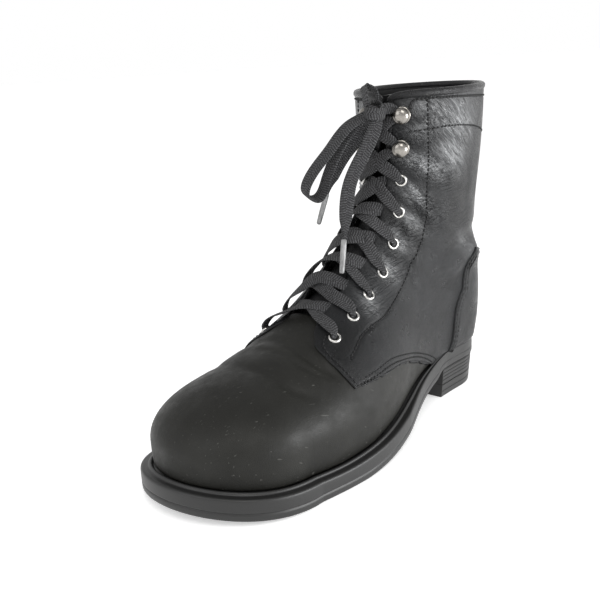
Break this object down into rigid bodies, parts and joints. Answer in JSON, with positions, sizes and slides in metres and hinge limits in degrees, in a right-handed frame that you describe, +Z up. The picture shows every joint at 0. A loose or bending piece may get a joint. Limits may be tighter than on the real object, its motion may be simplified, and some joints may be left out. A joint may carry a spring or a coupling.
{
  "type": "boot",
  "caption": "Ankle-high black leather combat boot for the left foot, laced through round eyelets and domed speed hooks, with a welted rubber sole and a stacked heel.",
  "frame": {"origin": "centre of the boot's box, on the floor", "axes": "+X to the toe, +Y to the outer side of the left foot, +Z up"},
  "size_m": [0.2988, 0.118, 0.2235],
  "materials": {
    "upper_leather": "smooth black leather, satin",
    "lining": "dark woven lining, matt",
    "sole_rubber": "black rubber, matt",
    "nickel": "nickel plate, bright",
    "lace_cloth": "flat woven black lace",
    "aglet": "translucent grey film"
  },
  "bodies": {
    "root": {"outsole": "sole_rubber", "welt": "sole_rubber", "heel_block": "sole_rubber", "heel_top_lift": "sole_rubber", "insole": "lining", "upper": "upper_leather", "tongue": "upper_leather", "heel_counter": "upper_leather", "collar_binding": "upper_leather", "eyelet_outer_1": "nickel", "eyelet_outer_2": "nickel", "eyelet_outer_3": "nickel", "eyelet_outer_4": "nickel", "eyelet_outer_5": "nickel", "eyelet_outer_6": "nickel", "eyelet_outer_7": "nickel", "hook_outer_1": "nickel", "hook_outer_2": "nickel", "eyelet_inner_1": "nickel", "eyelet_inner_2": "nickel", "eyelet_inner_3": "nickel", "eyelet_inner_4": "nickel", "eyelet_inner_5": "nickel", "eyelet_inner_6": "nickel", "eyelet_inner_7": "nickel", "hook_inner_1": "nickel", "hook_inner_2": "nickel", "lace_crossings": "lace_cloth", "lace_knot": "lace_cloth", "lace_loop_short": "lace_cloth", "lace_loop_long": "lace_cloth", "lace_end_long": "lace_cloth", "lace_end_short": "lace_cloth", "lace_tip_long": "aglet", "lace_tip_short": "aglet"}
  },
  "joints": []
}
